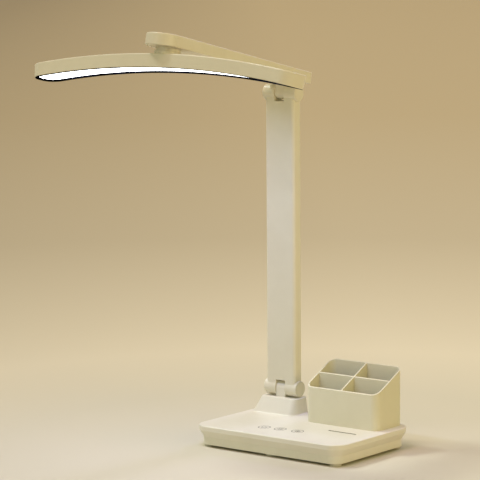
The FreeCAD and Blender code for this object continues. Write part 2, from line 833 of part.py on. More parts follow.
def make_stem_rear_cover():
    """Rear cover of the stem: the back of the same rounded bar, with sunk screw holes."""
    body = make_body("stem_rear_cover", lower_hinge)
    pad(body, stem_section(body, size.stem_end_block + size.stem_part_gap),
        channel_length - 2 * size.stem_part_gap)
    front = level(body, stem_middle)
    part_line = size.stem_part_line + size.stem_part_gap
    add_rectangle(front, -size.stem_width, -size.stem_thickness, size.stem_width, part_line)
    cut(body, front, size.hinge_spacing, both_ways=True)
    heads = front_on(body, stem_half)
    shanks = front_on(body, stem_half)
    for x, z in stem_posts:
        add_circle(heads, x, z, size.screw_head_radius + size.screw_hole_gap)
        add_circle(shanks, x, z, size.screw_radius + size.screw_hole_gap)
    cut(body, heads, 2 * size.screw_head_height, both_ways=True)
    cut(body, shanks, 2 * size.stem_thickness, both_ways=True)


def make_stem_stiffener():
    """Steel strip along the inside of the stem, with a clear hole round each screw post."""
    body = make_body("stem_stiffener", lower_hinge)
    strip = level(body, stem_middle)
    half = size.stiffener_width / 2
    add_rectangle(strip, -half, stem_inner_front, half, stem_inner_front + size.stiffener_thickness)
    pad(body, strip, channel_length - 2 * size.stiffener_end_gap, both_ways=True)
    holes = front_on(body, stem_inner_front + size.stiffener_thickness / 2)
    for x, z in stem_posts:
        add_circle(holes, x, z, size.stem_post_radius + size.stiffener_hole_gap)
    cut(body, holes, 2 * size.stiffener_thickness, both_ways=True)


# ---------------------------------------------------------------- arm

ARM_POSTS = 3
arm_front = size.swivel_reach + size.arm_nose_reach
arm_top = size.arm_underside + size.arm_thickness
cover_top = size.arm_underside + size.arm_cover_thickness
arm_posts = [(0, -size.arm_post_inset - index * size.arm_post_step) for index in range(ARM_POSTS)]
cavity_ceiling = arm_top - size.arm_wall


def make_arm_shell():
    """Flat bar with a full round nose, hollow from below in front of the solid end that holds the lug."""
    body = make_body("arm_shell", arm_place)
    outline = level(body, size.arm_underside)
    add_bullet(outline, size.arm_width, -arm_front, size.arm_rear, size.arm_rear_corner)
    pad(body, outline, size.arm_thickness)
    round_edges(body, size.arm_edge_round, lambda point: near(point.z, arm_top))
    round_edges(body, size.arm_under_round, lambda point: near(point.z, size.arm_underside))
    cavity = level(body, size.arm_underside)
    add_bullet(cavity, size.arm_width - 2 * size.arm_wall, size.arm_wall - arm_front,
               -size.arm_solid_front, size.arm_inner_corner)
    cut(body, cavity, size.arm_thickness - size.arm_wall, reverse=True)

    posts = level(body, cover_top)
    pilots = level(body, cover_top)
    for x, y in arm_posts:
        add_circle(posts, x, y, size.arm_post_radius)
        add_circle(pilots, x, y, size.screw_radius + size.screw_bite_gap)
    pad(body, posts, cavity_ceiling - cover_top)
    cut(body, pilots, size.arm_screw_length, reverse=True)

    lug = side_on(body)
    add_tongue(lug, 0, 0, size.lug_radius, size.arm_underside + size.arm_wall)
    pad(body, lug, size.lug_width, both_ways=True)
    bore = side_on(body)
    add_circle(bore, 0, 0, size.shaft_radius + size.press_gap)
    cut(body, bore, 2 * size.lug_width, both_ways=True)


def make_arm_cover():
    """Cover let into the underside of the arm, with the swivel bore and sunk screw holes."""
    body = make_body("arm_cover", arm_place)
    outline = level(body, size.arm_underside)
    edge = size.arm_wall + size.arm_cover_gap
    add_bullet(outline, size.arm_width - 2 * edge, edge - arm_front,
               -size.arm_solid_front - size.arm_cover_gap, size.arm_inner_corner)
    pad(body, outline, size.arm_cover_thickness)
    heads = level(body, size.arm_underside)
    holes = level(body, size.arm_underside)
    for x, y in arm_posts:
        add_circle(heads, x, y, size.screw_head_radius + size.screw_hole_gap)
        add_circle(holes, x, y, size.screw_radius + size.screw_hole_gap)
    add_circle(holes, 0, -size.swivel_reach, size.swivel_bolt_radius + size.running_gap)
    cut(body, heads, size.screw_head_height, reverse=True)
    cut(body, holes, size.arm_cover_thickness, reverse=True)


def make_ring(label, place, outer, inner, bottom, height):
    """A plain ring that lies level about the origin of its place."""
    body = make_body(label, place)
    sketch = level(body, bottom)
    add_circle(sketch, 0, 0, outer)
    add_circle(sketch, 0, 0, inner)
    pad(body, sketch, height)


# ---------------------------------------------------------------- swivel, seen from the head's top face

collar_top = size.swivel_gap - size.arm_collar_height - size.swivel_split_gap
washer_bottom = size.swivel_gap + size.arm_cover_thickness
flange_bottom = washer_bottom + size.swivel_washer_height + size.swivel_split_gap
nut_seat = size.head_wall + size.nut_seat_drop


def make_swivel():
    """Upper collar and washer on the arm, and the hollow bolt with its nut on the head."""
    make_ring("arm_collar", head_place, size.arm_collar_radius, size.swivel_bolt_radius + size.running_gap,
              collar_top + size.swivel_split_gap, size.arm_collar_height)
    make_ring("swivel_washer", head_place, size.swivel_flange_radius,
              size.swivel_bolt_radius + size.swivel_split_gap, washer_bottom, size.swivel_washer_height)
    bolt = make_body("swivel_bolt", head_place)
    shank = level(bolt, -size.swivel_bolt_end)
    add_circle(shank, 0, 0, size.swivel_bolt_radius)
    pad(bolt, shank, size.swivel_bolt_end + flange_bottom)
    flange = level(bolt, flange_bottom)
    add_circle(flange, 0, 0, size.swivel_flange_radius)
    pad(bolt, flange, size.swivel_flange_height)
    bore = level(bolt, -size.swivel_bolt_end)
    add_circle(bore, 0, 0, size.swivel_bolt_bore)
    cut(bolt, bore, size.swivel_bolt_end + flange_bottom + size.swivel_flange_height, reverse=True)
    nut = make_body("swivel_nut", head_place)
    hexagon = level(nut, -nut_seat)
    add_hexagon(hexagon, size.swivel_nut_radius)
    add_circle(hexagon, 0, 0, size.swivel_bolt_radius + size.press_gap)
    pad(nut, hexagon, size.swivel_nut_height, reverse=True)


# ---------------------------------------------------------------- head

def add_arch(sketch, top_radius, bottom_radius, half_length):
    """A band between two arcs about the sketch's origin, with ends along the radius.

    The origin is under the arch's crown, and the ends are equally far from the swivel, not from the crown.
    """
    right_end = half_length - size.head_crown_offset
    left_end = half_length + size.head_crown_offset
    start, end = [math.degrees(math.acos(number(reach) / number(size.head_arch_radius)))
                  for reach in (right_end, -left_end)]
    arcs = [add_arc(sketch, 0, 0, radius, start, end) for radius in (top_radius, bottom_radius)]
    for arc, radius in zip(arcs, (top_radius, bottom_radius)):
        sketch.addConstraint(Sketcher.Constraint("Coincident", arc, 3, -1, 1))
        constrain(sketch, "Radius", arc, radius)
        constrain(sketch, "DistanceX", -1, 1, arc, 1, right_end * (radius / size.head_arch_radius))
        constrain(sketch, "DistanceX", -1, 1, arc, 2, -left_end * (radius / size.head_arch_radius))
    for vertex in (1, 2):
        points = [sketch.getPoint(arc, vertex) for arc in arcs]
        line = sketch.addGeometry(Part.LineSegment(*points), False)
        sketch.addConstraint(Sketcher.Constraint("Coincident", arcs[0], vertex, line, 1))
        sketch.addConstraint(Sketcher.Constraint("Coincident", arcs[1], vertex, line, 2))


def arch_sketch(body, top, bottom, half_length):
    """The side view of an arched layer of the head, between two depths below its top face."""
    sketch = make_sketch(body, "XZ_Plane", 0, size.head_crown_offset, -size.head_arch_radius)
    add_arch(sketch, size.head_arch_radius - top, size.head_arch_radius - bottom, half_length)
    return sketch


def round_arch_corners(body, radius, half_length, half_width_y):
    """Round the four upright corners of an arched layer, or of a recess in it."""
    reach = number(half_length) - number(size.head_thickness) / 2

    def at_corner(point):
        return near(abs(point.y), half_width_y) and abs(point.x) > reach

    round_edges(body, radius, at_corner)


def arched_layer(body, top, bottom, half_length, half_width_y, feature=pad):
    """Add or cut an arched layer of the head, between two depths below its top face."""
    feature(body, arch_sketch(body, top, bottom, half_length), 2 * half_width_y, both_ways=True)


half_head = size.head_length / 2
half_head_width = size.head_width / 2
bezel_bottom = size.head_thickness - size.bezel_recess
bezel_top = bezel_bottom - size.bezel_height
bezel_half = half_head - size.head_wall - size.bezel_gap
bezel_half_width = half_head_width - size.head_wall - size.bezel_gap
bezel_corner = size.head_inner_corner - size.bezel_gap
window_half = bezel_half - size.bezel_wall
window_half_width = bezel_half_width - size.bezel_wall
window_corner = bezel_corner - size.bezel_wall
diffuser_bottom = size.head_thickness - size.diffuser_recess


def make_head_housing():
    """Arched tray, open below, with the swivel's lower collar on its top and a flat nut seat within."""
    body = make_body("head_housing", head_place)
    thickness = size.head_thickness
    recess_half = half_head - size.head_wall
    recess_half_width = half_head_width - size.head_wall
    arched_layer(body, 0, thickness, half_head, half_head_width)
    arched_layer(body, size.head_wall, 2 * thickness, recess_half, recess_half_width, cut)
    round_arch_corners(body, size.head_inner_corner, recess_half, recess_half_width)
    round_arch_corners(body, size.head_corner, half_head, half_head_width)

    def on_arc(radius):
        def wanted(point):
            across = point.x - number(size.head_crown_offset)
            return near(math.hypot(across, point.z + number(size.head_arch_radius)), radius)
        return wanted

    round_edges(body, size.head_edge_round, on_arc(size.head_arch_radius))
    round_edges(body, size.head_under_round, on_arc(size.head_arch_radius - thickness))
    collar = level(body, -nut_seat)
    add_circle(collar, 0, 0, size.head_collar_radius)
    pad(body, collar, nut_seat + collar_top)

    def at_collar_foot(point):
        on_collar = near(math.hypot(point.x, point.y), size.head_collar_radius)
        return on_collar and abs(point.z) < number(size.head_wall) / 2

    round_edges(body, size.collar_foot_round, at_collar_foot)
    bore = level(body, collar_top)
    add_circle(bore, 0, 0, size.swivel_bolt_radius + size.press_gap)
    cut(body, bore, 2 * thickness)


def make_head_insides():
    """Black frame, frosted diffuser and the board that carries the lights, one above the other."""
    bezel = make_body("bezel_frame", head_place)
    arched_layer(bezel, bezel_top, bezel_bottom, bezel_half, bezel_half_width)
    arched_layer(bezel, bezel_top - size.bezel_height, bezel_bottom + size.bezel_height, window_half,
                 window_half_width, cut)
    round_arch_corners(bezel, window_corner, window_half, window_half_width)
    round_arch_corners(bezel, bezel_corner, bezel_half, bezel_half_width)

    diffuser = make_body("diffuser", head_place)
    diffuser_half = window_half - size.bezel_gap
    diffuser_half_width = window_half_width - size.bezel_gap
    arched_layer(diffuser, diffuser_bottom - size.diffuser_thickness, diffuser_bottom, diffuser_half,
                 diffuser_half_width)
    round_arch_corners(diffuser, window_corner - size.bezel_gap, diffuser_half, diffuser_half_width)

    board = make_body("led_board", head_place)
    board_half = bezel_half - size.led_board_gap
    board_half_width = bezel_half_width - size.led_board_gap
    arched_layer(board, bezel_top - size.led_board_thickness, bezel_top, board_half, board_half_width)
    round_arch_corners(board, bezel_corner, board_half, board_half_width)


def make_led_chips():
    """One light, repeated both ways along the arch, on the underside of its board."""
    body = make_body("led_chips", head_place)
    first = make_sketch(body, "XZ_Plane", 0, size.head_crown_offset, -size.head_arch_radius)
    chip_top = size.head_arch_radius - bezel_top
    half_chip = size.led_length / 2
    add_rectangle(first, -half_chip, chip_top - size.led_height, half_chip, chip_top)
    chip = pad(body, first, size.led_width, both_ways=True)
    board_reach = bezel_half - size.led_board_inset
    degrees_per_radian = math.degrees(1)
    for reverse, offset in ((False, size.head_crown_offset), (True, -size.head_crown_offset)):
        count = whole((board_reach + offset) / size.led_spacing)
        pattern = body.newObject("PartDesign::PolarPattern", "PolarPattern")
        pattern.Originals = [chip]
        pattern.Axis = (first, ["N_Axis"])
        pattern.Reversed = reverse
        bind(pattern, "Angle", count * size.led_spacing / size.head_arch_radius * degrees_per_radian)
        bind(pattern, "Occurrences", count + 1)
        body.Tip = pattern
    document.recompute()


# ---------------------------------------------------------------- pen holder

def make_pen_holder():
    """Box with four compartments whose rim slopes down to the front, with two pegs under its floor."""
    body = make_body("pen_holder")
    x, y = holder_x, holder_y
    bottom = size.base_height
    outside = level(body, bottom)
    add_rounded_rectangle(outside, size.holder_width, size.holder_depth, size.holder_corner, x, y)
    pad(body, outside, size.holder_back_height)

    inside = level(body, bottom + size.holder_floor)
    width = size.holder_width - 2 * size.holder_wall
    depth = size.holder_depth - 2 * size.holder_wall
    add_rounded_rectangle(inside, width, depth, size.holder_corner - size.holder_wall, x, y)
    cut(body, inside, size.holder_back_height, reverse=True)
    half_divider = size.holder_divider / 2
    for reach_x, reach_y in ((width / 2, half_divider), (half_divider, depth / 2)):
        divider = level(body, bottom + size.holder_floor)
        add_rectangle(divider, x - reach_x, y - reach_y, x + reach_x, y + reach_y)
        pad(body, divider, size.holder_back_height - size.holder_floor)

    front, back = holder_front, holder_front + size.holder_depth
    front_rim = bottom + size.holder_front_height
    back_rim = bottom + size.holder_back_height
    slope = side_on(body, x)
    add_polygon(slope, [(front, front_rim), (back, back_rim), (back, 2 * back_rim), (front, 2 * back_rim)])
    cut(body, slope, 2 * size.holder_width, both_ways=True)

    pegs = level(body, bottom)
    for peg in peg_places:
        add_circle(pegs, *peg, size.peg_radius)
    pad(body, pegs, size.peg_height, reverse=True)


# ---------------------------------------------------------------- build, check and write

make_base_cover()
make_base_plate()
make_base_insides()
make_charging_socket()
make_feet()
make_screws("plate_screws", level, screw_places, size.foot_height, size.screw_length)
make_hinge_parts("lower", lower_hinge)

make_stem_front_shell()
make_stem_rear_cover()
make_stem_stiffener()
make_screws("stem_screws", front_on, stem_posts, stem_half, size.stem_screw_length, lower_hinge, inward=-1)

make_arm_shell()
make_arm_cover()
make_screws("arm_screws", level, arm_posts, size.arm_underside, size.arm_screw_length, arm_place)
make_hinge_parts("upper", upper_hinge)
make_swivel()

make_head_housing()
make_head_insides()
make_led_chips()
make_pen_holder()
document.recompute()

faults = [f"{item.Label}: {item.State}" for item in document.Objects
          if {"Invalid", "Error"} & set(item.State)]
bodies = [item for item in document.Objects if item.TypeId == "PartDesign::Body"]
faults += [f"{body.Label}: no valid shape" for body in bodies
           if body.Shape.isNull() or not body.Shape.isValid() or not body.Shape.Solids]
if faults:
    raise RuntimeError("; ".join(faults))

os.makedirs("parts", exist_ok=True)
for body in bodies:
    body.Shape.exportStep(os.path.join("parts", f"{body.Label}.step"))
    box = body.Shape.BoundBox
    print(f"{body.Label}: {len(body.Shape.Solids)} solid(s), {body.Shape.Volume:.0f} mm3, "
          f"X {box.XMin:.1f} {box.XMax:.1f}, Y {box.YMin:.1f} {box.YMax:.1f}, "
          f"Z {box.ZMin:.1f} {box.ZMax:.1f}")
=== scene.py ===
import math

import bmesh
import bpy
from mathutils import Matrix, Vector


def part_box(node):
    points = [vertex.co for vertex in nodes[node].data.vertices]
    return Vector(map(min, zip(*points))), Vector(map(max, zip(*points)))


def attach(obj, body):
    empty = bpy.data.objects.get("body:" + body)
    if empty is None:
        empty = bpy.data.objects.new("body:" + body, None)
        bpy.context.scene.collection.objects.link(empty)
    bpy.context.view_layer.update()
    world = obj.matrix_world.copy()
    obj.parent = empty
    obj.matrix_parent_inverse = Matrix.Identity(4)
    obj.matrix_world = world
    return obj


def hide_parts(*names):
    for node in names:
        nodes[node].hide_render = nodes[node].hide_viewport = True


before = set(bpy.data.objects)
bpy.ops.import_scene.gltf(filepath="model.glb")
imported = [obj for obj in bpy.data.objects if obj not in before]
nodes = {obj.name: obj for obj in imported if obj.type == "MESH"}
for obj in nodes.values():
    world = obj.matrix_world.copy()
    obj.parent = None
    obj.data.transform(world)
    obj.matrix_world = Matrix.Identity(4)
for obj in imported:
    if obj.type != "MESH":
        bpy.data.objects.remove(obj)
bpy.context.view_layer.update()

MM = 0.001


# ---------------------------------------------------------------- camera
# A long lens, set low and to the right of the lamp, a little above the height of its light bar.
# Its place is an aim point on the plane through the base's middle and a distance back from it.

TURN = math.radians(38.23)
LOOK_DOWN = math.radians(7.45)
ROLL = math.radians(0.392)
AIM_ASIDE, AIM_HEIGHT, CAMERA_REACH = -60.95 * MM, 208.65 * MM, 2474.6 * MM
LONG_LENS, SENSOR = 187.5, 36.0
FARTHEST_VIEW = 60.0

right = Vector((math.cos(TURN), math.sin(TURN), 0.0))
back = Vector((math.sin(TURN) * math.cos(LOOK_DOWN), -math.cos(TURN) * math.cos(LOOK_DOWN),
               math.sin(LOOK_DOWN)))
up = back.cross(right)
place = AIM_ASIDE * right + Vector((0.0, 0.0, AIM_HEIGHT)) + CAMERA_REACH * back
rolled_right = math.cos(ROLL) * right - math.sin(ROLL) * up
rolled_up = math.sin(ROLL) * right + math.cos(ROLL) * up

camera = bpy.data.objects.new("camera", bpy.data.cameras.new("camera"))
camera.data.lens = LONG_LENS
camera.data.sensor_width = SENSOR
camera.data.clip_end = FARTHEST_VIEW
camera.matrix_world = Matrix((
    (rolled_right.x, rolled_up.x, back.x, place.x),
    (rolled_right.y, rolled_up.y, back.y, place.y),
    (rolled_right.z, rolled_up.z, back.z, place.z),
    (0.0, 0.0, 0.0, 1.0),
))
bpy.context.scene.collection.objects.link(camera)
bpy.context.scene.camera = camera
bpy.context.scene.view_settings.view_transform = "Standard"


# ---------------------------------------------------------------- floor and studio light
# A smooth studio floor of warm off-white card, with light painted into its colour: a painted pool of
# light makes it palest in a ring round the lamp, painted shade darkens it a little close in, and painted
# falloff of light turns it beige far off and darker to the left. The room lights it evenly from all round.
# The camera and reflections see a beige wall past the floor's far end. Five soft lamps shine from high on
# the left, overhead, behind, the right and the front: the overhead and right ones are warm, and the rear
# and front ones cool.

class Wire:
    """The output of a shader node. Arithmetic on wires adds Math nodes to the same material."""

    def __init__(self, tree, socket=None):
        self.tree = tree
        self.socket = socket

    def node(self, kind, settings, inputs, output=0):
        """Add a node: its settings first, then a number, a colour or a wire for each named input."""
        made = self.tree.nodes.new(kind)
        for name, value in settings.items():
            if name == "stops":
                set_stops(made.color_ramp, value)
            else:
                setattr(made, name, value)
        for name, value in inputs.items():
            if isinstance(value, Wire):
                self.tree.links.new(value.socket, made.inputs[name])
            else:
                made.inputs[name].default_value = value
        return Wire(self.tree, made.outputs[output])

    def maths(self, operation, *others):
        """A Math node on this wire and any other values."""
        return self.node("ShaderNodeMath", {"operation": operation}, dict(enumerate((self, *others))))

    def __add__(self, other):
        return self.maths("ADD", other)

    def __sub__(self, other):
        return self.maths("SUBTRACT", other)

    def __mul__(self, other):
        return self.maths("MULTIPLY", other)

    def __truediv__(self, other):
        return self.maths("DIVIDE", other)

    __radd__ = __add__
    __rmul__ = __mul__


# A Mix node's two inputs and its output for colours, by their places among its sockets.
MIX_FIRST, MIX_SECOND, MIX_RESULT = 6, 7, 2


def set_stops(ramp, stops):
    """Give a ramp its stops, each a place from 0 to 1 and a colour."""
    while len(ramp.elements) < len(stops):
        ramp.elements.new(1.0)
    for element, (position, colour) in zip(ramp.elements, stops):
        element.position = position
        element.color = (*colour, 1.0)


def new_material(name):
    """A material with its shader and a wire to build its colours on."""
    material = bpy.data.materials.new(name)
    material.use_nodes = True
    return material, material.node_tree.nodes["Principled BSDF"], Wire(material.node_tree)


def feed(shader, **wires):
    """Join wires to the shader's sockets, whose spaces are written as underscores."""
    for name, wire in wires.items():
        wire.tree.links.new(wire.socket, shader.inputs[name.replace("_", " ")])


def new_piece(name, mesh, material, smooth=True):
    """An object for a finished mesh, with its material."""
    data = bpy.data.meshes.new(name)
    mesh.normal_update()
    mesh.to_mesh(data)
    mesh.free()
    data.materials.append(material)
    for face in data.polygons:
        face.use_smooth = smooth
    piece = bpy.data.objects.new(name, data)
    bpy.context.scene.collection.objects.link(piece)
    return piece


FLOOR_REACH = 40.0
FLOOR_FADE = 16.0
FADE_POWER = 0.33
# Painted light: the card's colours by distance are painted shade close in, a painted pool of light in a ring
# round the lamp and a painted falloff of light further out.
CARD_SHADED_NEAR = (0.655, 0.61, 0.46)
CARD_LIT_RING = (0.74, 0.67, 0.50)
CARD_FALLOFF_MIDDLE = (0.525, 0.45, 0.30)
CARD_FALLOFF_FAR = (0.474, 0.382, 0.22)
CARD_FALLOFF_HORIZON = (0.434, 0.343, 0.187)
LEFT_SHADE_LEVEL = 0.61
LEFT_SHADE_START, LEFT_SHADE_END = -1.4, 0.12

card, shader, start = new_material("studio_card_painted_light")
spot = start.node("ShaderNodeTexCoord", {}, {}, "Object")
distance = start.node("ShaderNodeVectorMath", {"operation": "LENGTH"}, {0: spot}, "Value")
light_falloff = (distance / FLOOR_FADE).maths("POWER", FADE_POWER)
fibre = start.node("ShaderNodeTexNoise", {}, {"Vector": spot, "Scale": 900.0, "Detail": 3.0})
tone = start.node("ShaderNodeValToRGB",
                  {"stops": [(0.0, CARD_SHADED_NEAR), (0.27, CARD_SHADED_NEAR), (0.33, CARD_LIT_RING), (0.47, CARD_FALLOFF_MIDDLE),
                             (0.64, CARD_FALLOFF_FAR), (1.0, CARD_FALLOFF_HORIZON)]},
                  {"Fac": light_falloff})
# Painted shade: the card's colour is dimmed towards the left.
aside = start.node("ShaderNodeVectorMath", {"operation": "DOT_PRODUCT"}, {0: spot, 1: right}, "Value")
left_shade = start.node("ShaderNodeMapRange", {},
                     {"Value": aside, "From Min": LEFT_SHADE_START, "From Max": LEFT_SHADE_END, "To Min": LEFT_SHADE_LEVEL,
                      "To Max": 1.0})
tone = start.node("ShaderNodeVectorMath", {"operation": "SCALE"}, {0: tone, "Scale": left_shade})
feed(shader, Base_Color=tone, Roughness=0.82 + fibre * 0.1)
mesh = bmesh.new()
bmesh.ops.create_circle(mesh, cap_ends=True, segments=96, radius=FLOOR_REACH)
floor = new_piece("studio_floor", mesh, card)

ROOM_LIGHT = 0.381
ROOM_TINT = (1.0, 0.985, 0.6)
FAR_WALL = (0.472, 0.381, 0.221)
world = bpy.data.worlds.new("room")
bpy.context.scene.world = world
world.use_nodes = True
start = Wire(world.node_tree)
light = start.node("ShaderNodeBackground", {}, {"Color": (*ROOM_TINT, 1.0), "Strength": ROOM_LIGHT})
wall = start.node("ShaderNodeBackground", {}, {"Color": (*FAR_WALL, 1.0), "Strength": 1.0})
camera_ray, glossy_ray, clear_ray = (
    start.node("ShaderNodeLightPath", {}, {}, ray)
    for ray in ("Is Camera Ray", "Is Glossy Ray", "Is Transmission Ray"))
seen = camera_ray.maths("MAXIMUM", glossy_ray).maths("MAXIMUM", clear_ray)
room = start.node("ShaderNodeMixShader", {}, {0: seen, 1: light, 2: wall})
world.node_tree.links.new(room.socket, world.node_tree.nodes["World Output"].inputs["Surface"])


def add_sun(name, travel, strength, tint, spread):
    """A distant soft lamp whose light travels along a direction."""
    lamp = bpy.data.objects.new(name, bpy.data.lights.new(name, "SUN"))
    lamp.data.energy = strength
    lamp.data.color = tint
    lamp.data.angle = math.radians(spread)
    lamp.rotation_mode = "QUATERNION"
    lamp.rotation_quaternion = Vector(travel).to_track_quat("-Z", "Y")
    bpy.context.scene.collection.objects.link(lamp)


add_sun("left_lamp", (0.5, 0.1, -0.86), 1.25, (0.93, 1.0, 0.96), 10)
add_sun("overhead_lamp", (0.1, 0.25, -1.0), 0.64, (1.0, 0.55, 0.5), 20)
add_sun("rear_lamp", (-0.05, -0.75, -0.62), 0.62, (0.5, 0.5, 1.0), 10)
add_sun("right_lamp", (-1.0, 0.1, -0.3), 0.7, (1.0, 0.74, 0.35), 30)
add_sun("front_lamp", (0.1, 1.0, -0.3), 0.25, (0.7, 0.9, 1.0), 30)


# ---------------------------------------------------------------- base cover
# The flared housing of the base with its pedestal and hinge lug, one moulding in off-white ABS.
# The tool was spark-eroded, so the plastic has a very fine matt grain. The base's plastic is painted a
# touch paler than the stem and arm, as painted light for the extra light it catches from the light bar and
# the floor.

ABS_CREAM = (0.78, 0.735, 0.585)
ABS_SHADOW = (0.73, 0.68, 0.53)
# Painted light: the base's tones are a lightened copy of the cream, standing in for the light falling on it.
BASE_LIT_PALE, BASE_LIT_DEEP = (0.805, 0.765, 0.64), (0.755, 0.71, 0.58)


def moulded_plastic(name, pale, deep, roughness=0.36, grain=0.03 * MM, sheen=0.5, painted_shade=None):
    """Opaque moulded plastic: slow drifts of tone, faint flow clouds and a fine eroded grain.

    An optional pair paints shade on the plastic: a function of the place that says where shade is
    painted, and the shade's colour.
    """
    material, shader, start = new_material(name)
    spot = start.node("ShaderNodeTexCoord", {}, {}, "Object")
    drift = start.node("ShaderNodeTexNoise", {}, {"Vector": spot, "Scale": 14.0, "Detail": 3.0})
    flow = start.node("ShaderNodeTexNoise", {}, {"Vector": spot, "Scale": 90.0, "Detail": 4.0})
    pits = start.node("ShaderNodeTexNoise", {}, {"Vector": spot, "Scale": 1900.0, "Detail": 2.0})
    cells = start.node("ShaderNodeTexVoronoi", {"feature": "SMOOTH_F1"},
                       {"Vector": spot, "Scale": 1300.0}, "Distance")
    blend = drift * 0.6 + flow * 0.25 + pits * 0.15
    tone = start.node("ShaderNodeValToRGB", {"stops": [(0.32, deep), (0.62, pale)]}, {"Fac": blend})
    # Painted shade: where the mask says, the tone gives way to the shade's darker colour.
    if painted_shade:
        where, colour = painted_shade
        tone = start.node("ShaderNodeMix", {"data_type": "RGBA"},
                          {"Factor": where(spot), MIX_FIRST: tone, MIX_SECOND: (*colour, 1.0)}, MIX_RESULT)
    height = pits * 0.6 + cells * 0.4
    relief = start.node("ShaderNodeBump", {}, {"Strength": 0.35, "Distance": grain, "Height": height})
    feed(shader, Base_Color=tone, Roughness=roughness - 0.05 + flow * 0.06 + pits * 0.06, Normal=relief)
    shader.inputs["Specular IOR Level"].default_value = sheen
    return material


def dress(node, *materials):
    """Put materials in a frame node's slots."""
    slots = nodes[node].data.materials
    slots.clear()
    for material in materials:
        slots.append(material)


BASE_TOP = 22.0 * MM
GROOVE_PLACE = Vector((54.0 * MM, -6.5 * MM, BASE_TOP))
GROOVE_HALF = Vector((16.8 * MM, 1.3 * MM, 0.0))
GROOVE_SHADE = 0.05 * MM
# Painted shade: the groove's walls and floor are coloured dark grey-brown for the shade in the recess.
GROOVE_PAINTED_SHADE = (0.24, 0.185, 0.09)
cream = moulded_plastic("cream_abs", ABS_CREAM, ABS_SHADOW)


def in_groove(spot):
    """1 on the walls and floor of the groove in the top, where shade is painted, and 0 elsewhere."""
    x, y, z = (spot.node("ShaderNodeSeparateXYZ", {}, {"Vector": spot}, axis) for axis in range(3))
    along = (x - GROOVE_PLACE.x).maths("ABSOLUTE").maths("LESS_THAN", GROOVE_HALF.x)
    across = (y - GROOVE_PLACE.y).maths("ABSOLUTE").maths("LESS_THAN", GROOVE_HALF.y)
    below = z.maths("LESS_THAN", BASE_TOP - GROOVE_SHADE)
    return along * across * below


dress("base_cover", moulded_plastic("painted_light_base_abs", BASE_LIT_PALE, BASE_LIT_DEEP, painted_shade=(in_groove, GROOVE_PAINTED_SHADE)))


# ---------------------------------------------------------------- touch marks
# Three touch keys for power, brightness and warmth, each a thin ring round a plain sign, pad printed
# in one pass of grey-brown ink on the top of the base cover.

MARK_THICKNESS = 0.04 * MM
RING_RADIUS, RING_LINE = 6.0 * MM, 0.6 * MM
SIGN_LINE = 0.7 * MM
POWER_RADIUS, POWER_START, POWER_END = 2.6 * MM, 125.0, 415.0
POWER_DASH_LOW, POWER_DASH_HIGH = 0.6 * MM, 3.4 * MM
SUN_RADIUS, SUN_RAYS, RAY_START, RAY_END = 1.5 * MM, 8, 2.5 * MM, 3.7 * MM
WARMTH_RADIUS, WARMTH_DOT = 2.6 * MM, 1.3 * MM


def add_band(mesh, centre, radius, line, start=0.0, end=360.0, steps=48):
    """A flat ring or arc of printed ink, a hair thick."""
    count = max(3, round(steps * (end - start) / 360))
    rims = []
    for step in range(count + 1):
        angle = math.radians(start + (end - start) * step / count)
        ray = Vector((math.cos(angle), math.sin(angle), 0.0))
        rims.append([mesh.verts.new(centre + ray * (radius + side * line / 2) + Vector((0, 0, lift)))
                     for side, lift in ((-1, 0.0), (1, 0.0), (1, MARK_THICKNESS), (-1, MARK_THICKNESS))])
    closed = end - start >= 360
    if closed:
        for vertex in rims[-1]:
            mesh.verts.remove(vertex)
        rims[-1] = rims[0]
    for first, second in zip(rims, rims[1:]):
        for corner in range(4):
            following = (corner + 1) % 4
            mesh.faces.new((first[corner], first[following], second[following], second[corner]))
    if not closed:
        mesh.faces.new(rims[0])
        mesh.faces.new(reversed(rims[-1]))


def add_dash(mesh, first, last, line):
    """A straight stroke of printed ink between two points."""
    along = (last - first).normalized()
    aside = Vector((-along.y, along.x, 0.0)) * line / 2
    lift = Vector((0, 0, MARK_THICKNESS))
    low = [mesh.verts.new(point) for point in (first - aside, last - aside, last + aside, first + aside)]
    high = [mesh.verts.new(vertex.co + lift) for vertex in low]
    mesh.faces.new(reversed(low))
    mesh.faces.new(high)
    for corner in range(4):
        following = (corner + 1) % 4
        mesh.faces.new((low[corner], low[following], high[following], high[corner]))


def add_disc(mesh, centre, radius, steps=24):
    """A solid dot of printed ink."""
    ring = [centre + radius * Vector((math.cos(turn), math.sin(turn), 0.0))
            for turn in (2 * math.pi * step / steps for step in range(steps))]
    low = [mesh.verts.new(point) for point in ring]
    high = [mesh.verts.new(point + Vector((0, 0, MARK_THICKNESS))) for point in ring]
    mesh.faces.new(reversed(low))
    mesh.faces.new(high)
    for corner in range(steps):
        following = (corner + 1) % steps
        mesh.faces.new((low[corner], low[following], high[following], high[corner]))


ink, shader, start = new_material("printed_ink")
spot = start.node("ShaderNodeTexCoord", {}, {}, "Object")
speckle = start.node("ShaderNodeTexNoise", {}, {"Vector": spot, "Scale": 3500.0, "Detail": 2.0})
tone = start.node("ShaderNodeValToRGB",
                  {"stops": [(0.35, (0.04, 0.028, 0.01)), (0.65, (0.06, 0.045, 0.02))]}, {"Fac": speckle})
feed(shader, Base_Color=tone, Roughness=0.45 + speckle * 0.2)

